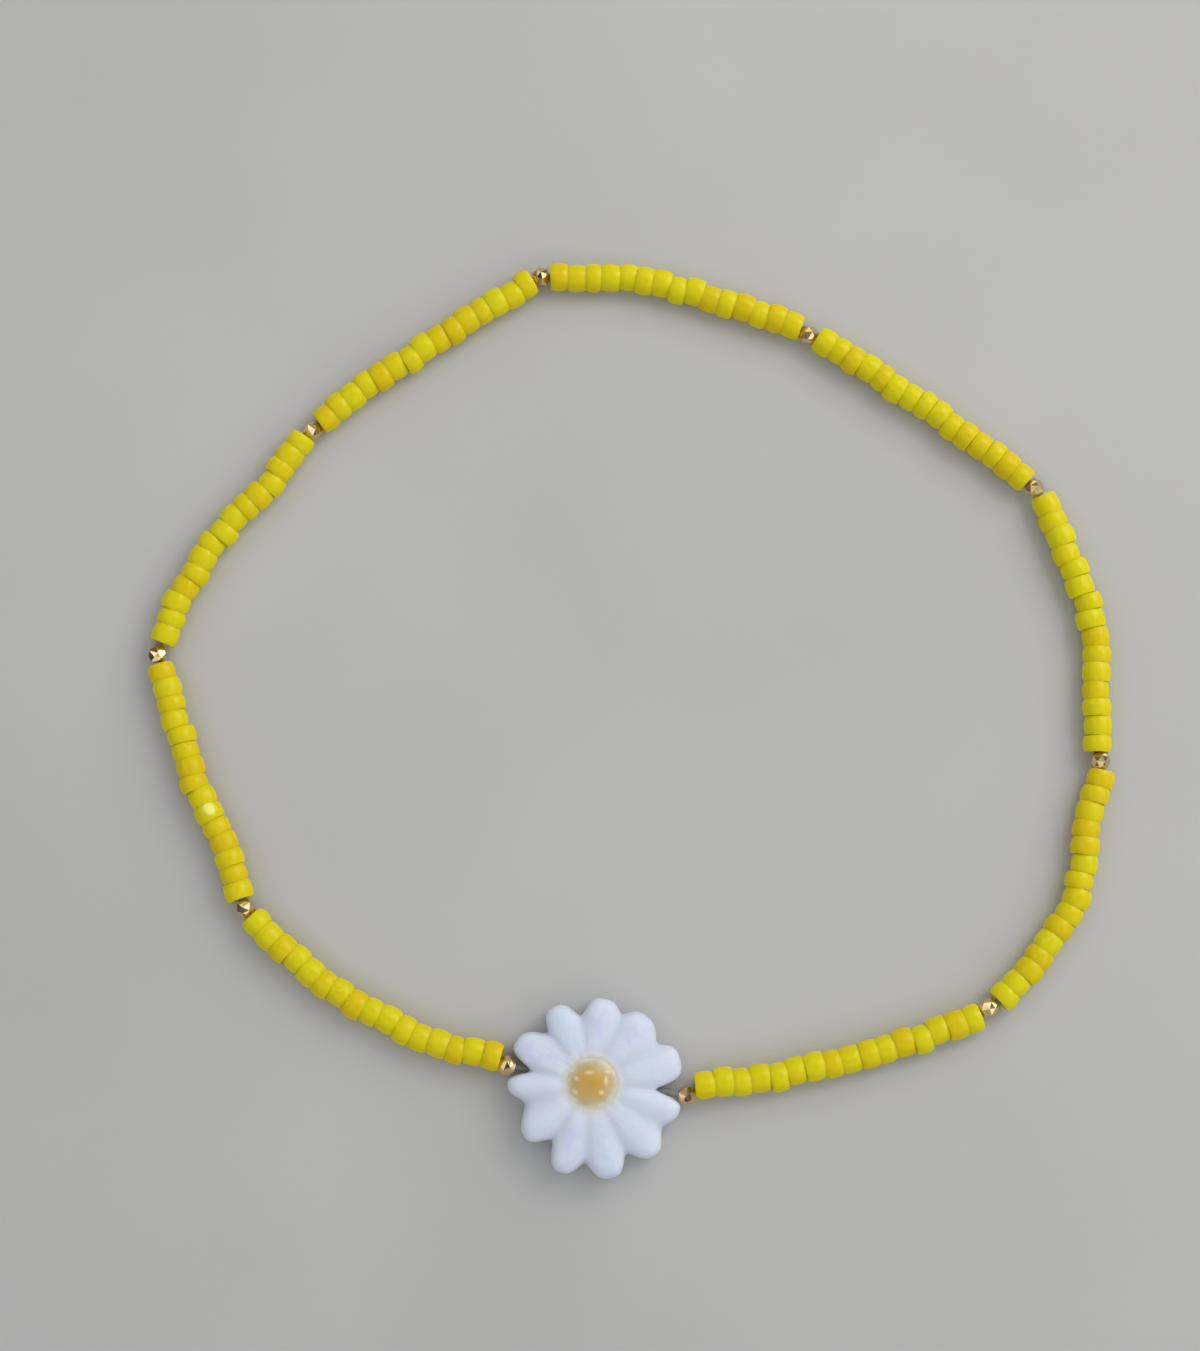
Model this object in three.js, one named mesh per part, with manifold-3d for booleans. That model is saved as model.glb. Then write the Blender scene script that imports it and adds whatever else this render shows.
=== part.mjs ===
// Beaded daisy bracelet: runs of glass seed beads on elastic thread, a small diamond-cut spacer
// bead between each two runs, and one carved shell daisy. Units are millimetres and +Z is up.
// The bracelet lies flat on z = 0, with its origin under the middle of its own outline.

import * as THREE from 'three';
import { mergeVertices } from 'three/addons/utils/BufferGeometryUtils.js';
import Module from 'manifold-3d';

// ---- Driving dimensions ---------------------------------------------------------------------

const SEED_RADIUS = 1.02;
const SEED_WAIST = 0.72; // radius where two neighbouring seed beads meet
const SEED_SHOULDER = 0.2; // where the barrel reaches full width, as a share of the bead's length
const SEED_SIDES = 8;
const SEED_LENGTH_SPREAD = 0.06; // seed beads differ a little in length, width and place
const SEED_WIDTH_SPREAD = 0.025;
const SEED_WANDER = 0.05;
const UNEVEN_STEP = 2.4; // radians from one bead to the next in the wave that makes them differ

const SPACER_RADIUS = 0.72;
const SPACER_END_RADIUS = 0.5;
const SPACER_LENGTH = 1.12;
const SPACER_BELT = 0.2; // half the width of the widest part
const SPACER_SIDES = 8;

const THREAD_RADIUS = 0.25;
const THREAD_SIDES = 8;
const BEAD_GAP = 0.07; // left between any two pieces that follow each other on the thread

const BORE_HEIGHT = 1.3; // the daisy's hole lies a little above the middle of a seed bead
const LIFT_START = 12; // how far from the daisy the thread starts to rise to its hole
const LIFT_END = 6.6;

const DAISY = { x: -2.59, y: -26.07 }; // the middle of the dome
const THREAD_THROUGH_DAISY = { angle: -9.5, aside: 0.12 }; // degrees, and how far behind the dome
const DAISY_BORE_RADIUS = 0.42;
const DAISY_BORE_REACH = 8; // from the middle to beyond the petals
const DAISY_EYE = { height: 2.75, radius: 2.15, seat: 1.72, seatFloor: 1.95 };
const BACK_MIDDLE_RADIUS = 1.5; // an inner ring that keeps the flat back simple
const BACK_EDGE_SHARE = 0.95; // the flat back ends this far out towards the outline
const RIDGE_HEIGHT = 2.85; // along the middle of a petal
const RIDGE_FALL = 0.5; // how much lower the ridge is at the petal's tip
const RIDGE_FALL_POWER = 4; // high: the ridge stays level and falls near the tip
const EDGE_HEIGHT = { back: 0.4, front: 1.4, frontInGroove: 1.1 };
const GROOVE_DEPTH = { atEye: 0.02, atNotch: 0.35 };
const GROOVE_DEEPENING_POWER = 2;
const GROOVE_SHARPNESS = 2; // 2 rounds the ridge like a parabola, and more flattens it
const CARVING_SHARES = [0.93, 0.78, 0.56]; // rings over the carved top, towards the outline
const NOTCH_ROUNDNESS = 2.2; // 1 would meet in a sharp corner between two petals
const PETAL_STEPS = 10; // facets across one petal

const DOME_GAP = 0.08;
const DOME_HEIGHT = 3.25;
const DOME_SHOULDER = 0.02; // how far its straight side stands above the eye
const DOME_SIDES = 24;
const DOME_STEPS = 4;

const MERGE_TOLERANCE = 1e-5; // points closer than this are one point

// ---- Tables ---------------------------------------------------------------------------------

// One row for each spacer bead, clockwise seen from above, from the back of the loop. x and y say
// where it lies. The rest is about the stretch that runs on to the next spacer: how many seed beads
// it holds, and how far it bows outwards from the straight line at its start, a quarter, half and
// three quarters of the way along, and at its end. The stretch with no seed beads holds the daisy.
const STATIONS = [
  { x: -6.33, y: 31.64, beads: 15, bow: [-0.05, 1.05, 1.3, 0.9, 0.15] },
  { x: 13.07, y: 27.34, beads: 15, bow: [0.3, 0.35, 0.5, 0.35, 0] },
  { x: 29.22, y: 16.04, beads: 15, bow: [0.15, 1.2, 1.75, 0.95, -0.2] },
  { x: 33.49, y: -3.58, beads: 15, bow: [0.15, 1.15, 2.35, 1.75, 0.2] },
  { x: 25.2, y: -20.94, beads: 16, bow: [0.2, 0.7, 0.7, 0.4, -0.65] },
  { x: 4.05, y: -26.99, beads: 0, bow: [0, 0, 0, 0, 0] },
  { x: -8.53, y: -24.96, beads: 16, bow: [-0.3, 1.25, 1.7, 1.35, 0] },
  { x: -26.98, y: -14.01, beads: 15, bow: [0.1, 0.05, 0.5, 0.25, -0.1] },
  { x: -33.63, y: 4.04, beads: 15, bow: [0.2, 1, 1.15, 0.35, 0.2] },
  { x: -22.73, y: 20.29, beads: 15, bow: [0.2, 0.5, 0.4, 0.35, 0] },
];

// One row for each petal, anticlockwise from the right. ridge is the direction of its middle and
// reach its length. groove is the direction of the groove after it and notch how far out the
// petals are joined there. Directions are in degrees from +X, seen from above. before and after
// say how full the petal's round end is on its two sides: 2 is slender and 4.5 is square.
const PETALS = [
  { ridge: 16, reach: 6.35, groove: 30.5, notch: 5.3, before: 4.5, after: 3.2 },
  { ridge: 50, reach: 6.17, groove: 66, notch: 5.15, before: 3, after: 3 },
  { ridge: 84, reach: 5.96, groove: 99.5, notch: 4.7, before: 4, after: 2.6 },
  { ridge: 117, reach: 5.93, groove: 132, notch: 4.65, before: 2.6, after: 3.9 },
  { ridge: 154, reach: 6.02, groove: 169.5, notch: 4.4, before: 3, after: 2 },
  { ridge: 182, reach: 5.9, groove: 197, notch: 4.9, before: 2.1, after: 1.9 },
  { ridge: 219, reach: 6.03, groove: 235, notch: 4.9, before: 2, after: 1.9 },
  { ridge: 250, reach: 6.57, groove: 265, notch: 5.6, before: 3, after: 2.8 },
  { ridge: 282, reach: 6.7, groove: 296, notch: 5.5, before: 3.5, after: 3 },
  { ridge: 313, reach: 6.68, groove: 327.5, notch: 5.85, before: 2.9, after: 2.1 },
  { ridge: 342, reach: 6.42, groove: 354, notch: 4.55, before: 2.5, after: 3 },
];

// ---- Materials ------------------------------------------------------------------------------

const yellowGlass = new THREE.MeshStandardMaterial({ color: 0xd8c80a, roughness: 0.3, metalness: 0 });
const goldPlate = new THREE.MeshStandardMaterial({ color: 0xd8a860, roughness: 0.2, metalness: 1 });
const whiteShell = new THREE.MeshStandardMaterial({ color: 0xdfe3ec, roughness: 0.25, metalness: 0 });
const honeyDome = new THREE.MeshStandardMaterial({ color: 0xc9973e, roughness: 0.2, metalness: 0 });
const clearThread = new THREE.MeshStandardMaterial({ color: 0xc9c6bd, roughness: 0.35, metalness: 0 });

// ---- Helpers --------------------------------------------------------------------------------

const bracelet = new THREE.Group();

function addPiece(name, geometry, material) {
  const piece = new THREE.Mesh(geometry, material);
  piece.name = name;
  bracelet.add(piece);
}

// A steady wave that looks irregular from bead to bead: between -1 and 1.
function uneven(bead, phase) {
  return Math.sin(bead * UNEVEN_STEP + phase);
}

// A ring of points around a centre. along is the level direction that the ring faces, and turn
// rotates it, in steps between two points. With no turn one point hangs straight down.
function ring(centre, along, radius, sides, turn = 0) {
  const side = new THREE.Vector3(-along.y, along.x, 0).normalize();
  const up = new THREE.Vector3(0, 0, 1);
  const points = [];
  for (let k = 0; k < sides; k += 1) {
    const angle = ((k + turn) / sides) * 2 * Math.PI - Math.PI / 2;
    const point = centre.clone();
    point.addScaledVector(side, radius * Math.cos(angle));
    point.addScaledVector(up, radius * Math.sin(angle));
    points.push(point);
  }
  return points;
}

// One closed surface through rings with equal numbers of points, from the first ring to the last.
function loft(rings) {
  const sides = rings[0].length;
  const positions = rings.flat().flatMap((point) => [point.x, point.y, point.z]);
  const faces = [];
  for (let r = 0; r + 1 < rings.length; r += 1) {
    for (let k = 0; k < sides; k += 1) {
      const next = (k + 1) % sides;
      const a = r * sides + k;
      const b = r * sides + next;
      faces.push(a, b, b + sides, a, b + sides, a + sides);
    }
  }
  const lastRing = (rings.length - 1) * sides;
  for (let k = 1; k + 1 < sides; k += 1) {
    faces.push(0, k + 1, k);
    faces.push(lastRing, lastRing + k, lastRing + k + 1);
  }
  const geometry = new THREE.BufferGeometry();
  geometry.setAttribute('position', new THREE.Float32BufferAttribute(positions, 3));
  geometry.setIndex(faces);
  return geometry;
}

// ---- The thread's route ---------------------------------------------------------------------

// How high the thread runs: level with the seed beads' holes, and rising to the daisy's hole.
function threadHeight(x, y) {
  const distance = Math.hypot(x - DAISY.x, y - DAISY.y);
  const lift = 1 - THREE.MathUtils.smoothstep(distance, LIFT_END, LIFT_START);
  return SEED_RADIUS + lift * (BORE_HEIGHT - SEED_RADIUS);
}

// The curve from one spacer to the next.
function stretchCurve(index) {
  const from = STATIONS[index];
  const to = STATIONS[(index + 1) % STATIONS.length];
  const chord = new THREE.Vector2(to.x - from.x, to.y - from.y);
  const outward = new THREE.Vector2(-chord.y, chord.x).normalize();
  const points = from.bow.map((bow, k) => {
    const share = k / (from.bow.length - 1);
    const x = from.x + chord.x * share + outward.x * bow;
    const y = from.y + chord.y * share + outward.y * bow;
    return new THREE.Vector3(x, y, threadHeight(x, y));
  });
  return new THREE.CatmullRomCurve3(points);
}

// A spacer sits across the bend between the two stretches that meet at it.
function spacerDirection(index) {
  const before = stretchCurve((index + STATIONS.length - 1) % STATIONS.length).getTangentAt(1);
  const after = stretchCurve(index % STATIONS.length).getTangentAt(0);
  return before.add(after).setZ(0).normalize();
}

// ---- Seed beads -----------------------------------------------------------------------------

// How far a run's face keeps from the middle of the spacer at one end of its stretch. A face that
// meets the spacer askew or to one side needs more room.
function standOff(tangent, spacer, bow) {
  const bend = tangent.setZ(0).angleTo(spacer);
  return SPACER_LENGTH / 2 + BEAD_GAP + (SPACER_END_RADIUS + Math.abs(bow)) * Math.tan(bend);
}

// Where each seed bead of a stretch starts and ends along the curve, and its radius and place.
function beadsOfStretch(index, curve) {
  const { beads: count, bow } = STATIONS[index];
  const first = standOff(curve.getTangentAt(0), spacerDirection(index), bow[0]);
  const last = standOff(curve.getTangentAt(1), spacerDirection(index + 1), bow[bow.length - 1]);
  const room = curve.getLength() - first - last;
  const shares = [];
  for (let bead = 0; bead < count; bead += 1) {
    shares.push(1 + SEED_LENGTH_SPREAD * uneven(bead, index));
  }
  const total = shares.reduce((sum, share) => sum + share, 0);
  const beads = [];
  let start = first;
  for (let bead = 0; bead < count; bead += 1) {
    const end = start + (room * shares[bead]) / total;
    const radius = SEED_RADIUS * (1 + SEED_WIDTH_SPREAD * uneven(bead, index + 2));
    const aside = SEED_WANDER * uneven(bead, index + 4);
    beads.push({ start, end, radius, aside });
    start = end;
  }
  return beads;
}

// The ring of a run at one place along its curve. The curve sets the height of a waist, and a
// shoulder rests on the surface below unless the thread carries it higher.
function runRing(curve, place, radius, aside) {
  const share = place / curve.getLength();
  const centre = curve.getPointAt(share);
  const along = curve.getTangentAt(share);
  const side = new THREE.Vector3(-along.y, along.x, 0).normalize();
  centre.addScaledVector(side, aside);
  centre.z = Math.max(centre.z, radius);
  return ring(centre, along, radius, SEED_SIDES);
}

// Part of a stretch: seed beads joined along the thread that fills their holes.
function seedRun(curve, beads) {
  const inset = BEAD_GAP / 2;
  const lastBead = beads.length - 1;
  const rings = [runRing(curve, beads[0].start + inset, SEED_WAIST, beads[0].aside)];
  beads.forEach((bead, k) => {
    const shoulder = (bead.end - bead.start) * SEED_SHOULDER;
    rings.push(runRing(curve, bead.start + shoulder, bead.radius, bead.aside));
    rings.push(runRing(curve, bead.end - shoulder, bead.radius, bead.aside));
    const end = k === lastBead ? bead.end - inset : bead.end;
    const aside = k === lastBead ? bead.aside : (bead.aside + beads[k + 1].aside) / 2;
    rings.push(runRing(curve, end, SEED_WAIST, aside));
  });
  return loft(rings);
}

function addSeedRuns() {
  const stretches = STATIONS.map((station, index) => index).filter((index) => STATIONS[index].beads > 0);
  stretches.forEach((index, order) => {
    const curve = stretchCurve(index);
    const beads = beadsOfStretch(index, curve);
    const half = Math.ceil(beads.length / 2);
    addPiece(`seed_run_${order + 1}a`, seedRun(curve, beads.slice(0, half)), yellowGlass);
    addPiece(`seed_run_${order + 1}b`, seedRun(curve, beads.slice(half)), yellowGlass);
  });
}

// ---- Spacer beads ---------------------------------------------------------------------------

// Two belts of points, half a step apart, give the triangular facets of a diamond cut.
function spacerBead(index) {
  const station = STATIONS[index];
  const along = spacerDirection(index);
  const middle = new THREE.Vector3(station.x, station.y, threadHeight(station.x, station.y));
  const belts = [
    { place: -SPACER_LENGTH / 2, radius: SPACER_END_RADIUS, turn: 0 },
    { place: -SPACER_BELT, radius: SPACER_RADIUS, turn: 0.5 },
    { place: SPACER_BELT, radius: SPACER_RADIUS, turn: 1 },
    { place: SPACER_LENGTH / 2, radius: SPACER_END_RADIUS, turn: 1.5 },
  ];
  const rings = belts.map((belt) => {
    const centre = middle.clone().addScaledVector(along, belt.place);
    return ring(centre, along, belt.radius, SPACER_SIDES, belt.turn);
  });
  return loft(rings);
}

function addSpacers() {
  STATIONS.forEach((station, index) => {
    const number = String(index + 1).padStart(2, '0');
    addPiece(`spacer_${number}`, spacerBead(index), goldPlate);
  });
}

// ---- The daisy ------------------------------------------------------------------------------

const toRadians = THREE.MathUtils.degToRad;

// Directions round the daisy, from groove to groove. offset is 0 on a petal's ridge and 1 in the
// groove beside it, and outline is how far the daisy reaches in that direction.
function petalDirections() {
  const directions = [];
  PETALS.forEach((petal, index) => {
    const before = PETALS[(index + PETALS.length - 1) % PETALS.length];
    for (let step = 0; step < PETAL_STEPS; step += 1) {
      const across = (2 * step) / PETAL_STEPS - 1; // -1 in the groove before, 0 on the ridge
      const groove = across < 0 ? before.groove - (index === 0 ? 360 : 0) : petal.groove;
      const notch = across < 0 ? before.notch : petal.notch;
      const fullness = across < 0 ? petal.before : petal.after;
      const offset = Math.abs(across);
      const angle = toRadians(THREE.MathUtils.lerp(petal.ridge, groove, offset));
      const fall = 1 - (1 - offset ** fullness) ** NOTCH_ROUNDNESS;
      const outline = THREE.MathUtils.lerp(petal.reach, notch, fall);
      directions.push({ angle, offset, outline });
    }
  });
  return directions;
}

// The height of the carved top at a share of the way out to the outline.
function petalHeight(share, offset) {
  const fall = RIDGE_FALL * share ** RIDGE_FALL_POWER;
  const deepening = share ** GROOVE_DEEPENING_POWER;
  const depth = THREE.MathUtils.lerp(GROOVE_DEPTH.atEye, GROOVE_DEPTH.atNotch, deepening);
  return RIDGE_HEIGHT - fall - depth * offset ** GROOVE_SHARPNESS;
}

// The daisy's rings, from the middle of the flat back out round the edge, in over the carved top
// and down into the seat of the dome.
function daisyRings() {
  const profile = [
    { radius: () => BACK_MIDDLE_RADIUS, height: () => 0 },
    { radius: ({ outline }) => outline * BACK_EDGE_SHARE, height: () => 0 },
    { radius: ({ outline }) => outline, height: () => EDGE_HEIGHT.back },
    { radius: ({ outline }) => outline, height: ({ offset }) => edgeHeight(offset) },
    ...CARVING_SHARES.map((share) => ({
      radius: ({ outline }) => outline * share,
      height: ({ offset }) => petalHeight(share, offset),
    })),
    { radius: () => DAISY_EYE.radius, height: () => DAISY_EYE.height },
    { radius: () => DAISY_EYE.seat, height: () => DAISY_EYE.height },
    { radius: () => DAISY_EYE.seat, height: () => DAISY_EYE.seatFloor },
  ];
  const directions = petalDirections();
  return profile.map((row) => directions.map((direction) => {
    const radius = row.radius(direction);
    const x = DAISY.x + radius * Math.cos(direction.angle);
    const y = DAISY.y + radius * Math.sin(direction.angle);
    return new THREE.Vector3(x, y, row.height(direction));
  }));
}

function edgeHeight(offset) {
  return THREE.MathUtils.lerp(EDGE_HEIGHT.front, EDGE_HEIGHT.frontInGroove, offset);
}

// A level rod along the thread through the daisy. from and to are distances from its middle.
function rodThroughDaisy(from, to, radius) {
  const angle = toRadians(THREAD_THROUGH_DAISY.angle);
  const along = new THREE.Vector3(Math.cos(angle), Math.sin(angle), 0);
  const middle = new THREE.Vector3(DAISY.x, DAISY.y + THREAD_THROUGH_DAISY.aside, BORE_HEIGHT);
  const rings = [from, to].map((place) => {
    const centre = middle.clone().addScaledVector(along, place);
    return ring(centre, along, radius, THREAD_SIDES, 0.5);
  });
  return loft(rings);
}

function toSolid(wasm, geometry) {
  const bare = geometry.clone();
  bare.deleteAttribute('normal');
  bare.deleteAttribute('uv');
  const merged = mergeVertices(bare, MERGE_TOLERANCE);
  return new wasm.Manifold(new wasm.Mesh({
    numProp: 3,
    vertProperties: new Float32Array(merged.attributes.position.array),
    triVerts: new Uint32Array(merged.index.array),
  }));
}

function toGeometry(solid) {
  const mesh = solid.getMesh();
  const geometry = new THREE.BufferGeometry();
  geometry.setAttribute('position', new THREE.BufferAttribute(mesh.vertProperties, 3));
  geometry.setIndex(new THREE.BufferAttribute(mesh.triVerts, 1));
  return geometry;
}

// The petals are one carving, bored from side to side for the thread.
async function boredPetals() {
  const wasm = await Module();
  wasm.setup();
  const drill = rodThroughDaisy(-DAISY_BORE_REACH, DAISY_BORE_REACH, DAISY_BORE_RADIUS);
  const bored = toSolid(wasm, loft(daisyRings())).subtract(toSolid(wasm, drill));
  return toGeometry(bored);
}

// A low dome that sits in the eye of the daisy with its edge just clear of the seat.
function domeGeometry() {
  const radius = DAISY_EYE.seat - DOME_GAP;
  const base = DAISY_EYE.seatFloor + DOME_GAP;
  const shoulder = DAISY_EYE.height + DOME_SHOULDER;
  const profile = [new THREE.Vector2(0, base), new THREE.Vector2(radius, base)];
  for (let step = 0; step < DOME_STEPS; step += 1) {
    const angle = (step / DOME_STEPS) * (Math.PI / 2);
    const height = shoulder + (DOME_HEIGHT - shoulder) * Math.sin(angle);
    profile.push(new THREE.Vector2(radius * Math.cos(angle), height));
  }
  profile.push(new THREE.Vector2(0, DOME_HEIGHT));
  const dome = new THREE.LatheGeometry(profile, DOME_SIDES);
  dome.rotateX(Math.PI / 2);
  dome.translate(DAISY.x, DAISY.y, 0);
  return dome;
}

// How far along the thread a spacer lies from the middle of the daisy.
function spacerDistance(index) {
  const station = STATIONS[index];
  return Math.hypot(station.x - DAISY.x, station.y - DAISY.y - THREAD_THROUGH_DAISY.aside);
}

async function addDaisy() {
  const daisyStretch = STATIONS.findIndex((station) => station.beads === 0);
  const clear = SPACER_LENGTH / 2 + BEAD_GAP;
  const right = spacerDistance(daisyStretch) - clear;
  const left = spacerDistance(daisyStretch + 1) - clear;
  addPiece('daisy_petals', await boredPetals(), whiteShell);
  addPiece('daisy_center', domeGeometry(), honeyDome);
  addPiece('daisy_thread', rodThroughDaisy(-left, right, THREAD_RADIUS), clearThread);
}

addSeedRuns();
addSpacers();
await addDaisy();

export default bracelet;
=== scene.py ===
# %% [markdown]
# # A beaded daisy bracelet
#
# The bracelet is a loop of small yellow glass beads on clear elastic thread. A tiny faceted
# gold-coloured spacer sits between each two runs of beads, and one daisy carved from white shell,
# with a honey-coloured dome in its middle, closes the pattern.
#
# The solid model already holds the main sizes and every place. This lesson loads it as a fixed
# frame and dresses it: each run of simple solid beads gets real glass beads with holes and rounded
# ends, each spacer gets its cut facets, and the daisy gets its finely carved petals. Nothing moves,
# and the bracelet keeps its size.

# %% Load the solid model as a fixed frame
import math
import random

import bpy
from mathutils import Matrix, Vector


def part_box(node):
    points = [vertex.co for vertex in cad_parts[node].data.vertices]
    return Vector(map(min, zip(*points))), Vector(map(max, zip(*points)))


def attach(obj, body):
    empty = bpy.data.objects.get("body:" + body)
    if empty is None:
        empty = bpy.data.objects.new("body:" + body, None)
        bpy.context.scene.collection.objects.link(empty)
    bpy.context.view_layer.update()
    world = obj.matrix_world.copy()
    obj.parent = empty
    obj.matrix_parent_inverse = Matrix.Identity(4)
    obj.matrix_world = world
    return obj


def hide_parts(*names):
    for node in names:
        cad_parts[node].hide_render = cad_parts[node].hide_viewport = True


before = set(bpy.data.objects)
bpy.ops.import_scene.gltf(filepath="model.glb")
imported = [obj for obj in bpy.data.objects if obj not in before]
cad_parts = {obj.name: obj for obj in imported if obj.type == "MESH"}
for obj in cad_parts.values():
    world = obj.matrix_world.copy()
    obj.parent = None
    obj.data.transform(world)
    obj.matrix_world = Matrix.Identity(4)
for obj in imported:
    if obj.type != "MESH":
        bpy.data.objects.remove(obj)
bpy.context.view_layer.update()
MM = 0.001
print("solid model loaded:", len(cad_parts), "pieces")

# %% [markdown]
# ## The camera
#
# The camera comes first, because everything after it is judged through it. The bracelet lies on
# a table and somebody holds a camera a hand's length above it, leaning very slightly, so that the
# daisy is nearest. A longer lens from further away would flatten the little height there is, so
# the lens and the distance are kept as they would be in the hand. The far clipping distance can
# stay as it is, but the near one must be small, because the camera may come close to such a small
# object.

# %% Place the camera
CAMERA_LENS = 63.95
CAMERA_LEAN = math.radians(6.707)
CAMERA_PLACE = Vector((-2.03, -17.46, 170.8)) * MM
NEAR_CLIP = 5 * MM

camera_data = bpy.data.cameras.new("camera")
camera_data.lens = CAMERA_LENS
camera_data.clip_start = NEAR_CLIP
camera = bpy.data.objects.new("camera", camera_data)
camera.location = CAMERA_PLACE
camera.rotation_euler = (CAMERA_LEAN, 0, 0)
bpy.context.scene.collection.objects.link(camera)
bpy.context.scene.camera = camera
print("camera stands", round(CAMERA_PLACE.z / MM), "mm above the table")

# %% [markdown]
# ## The route of the thread
#
# Every bead sits on one thread, so the thread's route comes before any bead. The spacers of the
# solid model mark ten places along it. Between two spacers the thread bows a little: the table
# says how far, at the start, the quarter points and the end, and how many beads hang on that
# stretch. A straight line from spacer to spacer would be simpler, but a loop that was laid down
# by hand is never straight.

# %% List the stretches from spacer to spacer
STRETCHES = [
    # beads, then the bow outwards in mm at the start, the three quarter points and the end
    (15, (-0.05, 1.05, 1.3, 0.9, 0.15)),
    (15, (0.3, 0.35, 0.5, 0.35, 0)),
    (15, (0.15, 1.2, 1.75, 0.95, -0.2)),
    (15, (0.15, 1.15, 2.35, 1.75, 0.2)),
    (16, (0.2, 0.7, 0.7, 0.4, -0.65)),
    (0, (0, 0, 0, 0, 0)),  # through the daisy
    (16, (-0.3, 1.25, 1.7, 1.35, 0)),
    (15, (0.1, 0.05, 0.5, 0.25, -0.1)),
    (15, (0.2, 1, 1.15, 0.35, 0.2)),
    (15, (0.2, 0.5, 0.4, 0.35, 0)),
]
DAISY_STRETCH = [count for count, _ in STRETCHES].index(0)
SPACERS = [f"spacer_{number:02d}" for number in range(1, len(STRETCHES) + 1)]


def box_middle(node):
    """The middle of a piece of the solid model."""
    low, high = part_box(node)
    return (low + high) / 2


stations = [box_middle(node) for node in SPACERS]
print("spacers:", len(stations), "beads:", sum(count for count, _ in STRETCHES))

# %% [markdown]
# The hole through the daisy lies higher than the holes of the small beads, which rest on the
# table. So the thread climbs a little on its way to the daisy, and the last beads climb with it.

# %% Work out how high the thread runs
SEED_RADIUS = 1.02 * MM
BORE_HEIGHT = 1.3 * MM
LIFT_START = 12 * MM
LIFT_END = 6.6 * MM
daisy_middle = box_middle("daisy_center")


def smoothstep(value, low, high):
    """0 below low, 1 above high, and a smooth rise between them."""
    share = min(max((value - low) / (high - low), 0), 1)
    return share * share * (3 - 2 * share)


def thread_height(x, y):
    """How high the thread runs above one place on the table."""
    distance = math.hypot(x - daisy_middle.x, y - daisy_middle.y)
    lift = 1 - smoothstep(distance, LIFT_END, LIFT_START)
    return SEED_RADIUS + lift * (BORE_HEIGHT - SEED_RADIUS)


print("thread runs", SEED_RADIUS / MM, "to", BORE_HEIGHT / MM, "mm above the table")

# %% [markdown]
# A thread runs smoothly through the marks of its stretch. Blender's own curves could do this, but
# the beads need to know the place and direction at any distance, so the spline is worked out
# here, as plain points. It is a centripetal Catmull-Rom spline, which passes through each mark
# and makes no loop where two marks lie close together. The solid model uses the same one, so the
# beads land on their solids.

# %% Run a smooth spline through the marks of each stretch
STEPS_PER_SPAN = 24


def spline_span(before, start, end, after):
    """Points from start to just before end on a centripetal Catmull-Rom spline."""
    gaps = [math.sqrt((b - a).length) for a, b in ((before, start), (start, end), (end, after))]
    slope_in = (start - before) / gaps[0] - (end - before) / (gaps[0] + gaps[1])
    slope_in = (slope_in + (end - start) / gaps[1]) * gaps[1]
    slope_out = (end - start) / gaps[1] - (after - start) / (gaps[1] + gaps[2])
    slope_out = (slope_out + (after - end) / gaps[2]) * gaps[1]
    points = []
    for step in range(STEPS_PER_SPAN):
        t = step / STEPS_PER_SPAN
        square = 3 * (end - start) - 2 * slope_in - slope_out
        cube = 2 * (start - end) + slope_in + slope_out
        points.append(start + slope_in * t + square * t**2 + cube * t**3)
    return points


def stretch_points(index):
    """Many points along the thread from one spacer to the next."""
    start = stations[index].to_2d()
    end = stations[(index + 1) % len(stations)].to_2d()
    outward = Vector((start.y - end.y, end.x - start.x)).normalized()
    bows = STRETCHES[index][1]
    marks = []
    for number, bow in enumerate(bows):
        place = start.lerp(end, number / (len(bows) - 1)) + outward * bow * MM
        marks.append(Vector((*place, thread_height(*place))))
    before = 2 * marks[0] - marks[1]
    after = 2 * marks[-1] - marks[-2]
    padded = [before, *marks, after]
    points = []
    for four_marks in zip(padded, padded[1:], padded[2:], padded[3:]):
        points += spline_span(*four_marks)
    return [*points, marks[-1]]


routes = [stretch_points(index) for index in range(len(STRETCHES))]
loop_length = sum((b - a).length for route in routes for a, b in zip(route, route[1:]))
print("thread loop:", round(loop_length / MM), "mm")

# %% [markdown]
# Beads are spaced by their distance along the thread, and the points of the spline aren't evenly
# spaced. A small class keeps the distance of each point from the start, and looks up the place
# and the direction for any distance in between.

# %% Walk along a stretch by distance
DIRECTION_REACH = 0.05 * MM


class Walk:
    """Gives the place and direction at any distance along a row of points."""

    def __init__(self, points):
        self.points = points
        self.marks = [0.0]
        for a, b in zip(points, points[1:]):
            self.marks.append(self.marks[-1] + (b - a).length)
        self.length = self.marks[-1]

    def at(self, distance):
        """The place at a distance from the start."""
        last = len(self.points) - 2
        span = next((k for k in range(last) if self.marks[k + 1] > distance), last)
        share = (distance - self.marks[span]) / (self.marks[span + 1] - self.marks[span])
        return self.points[span].lerp(self.points[span + 1], share)

    def level_direction(self, distance):
        """The direction over the table at a distance from the start."""
        ahead = self.at(min(distance + DIRECTION_REACH, self.length))
        behind = self.at(max(distance - DIRECTION_REACH, 0))
        step = ahead - behind
        return Vector((step.x, step.y, 0)).normalized()


walks = [Walk(route) for route in routes]
print("longest stretch:", round(max(walk.length for walk in walks) / MM, 1), "mm")

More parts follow.
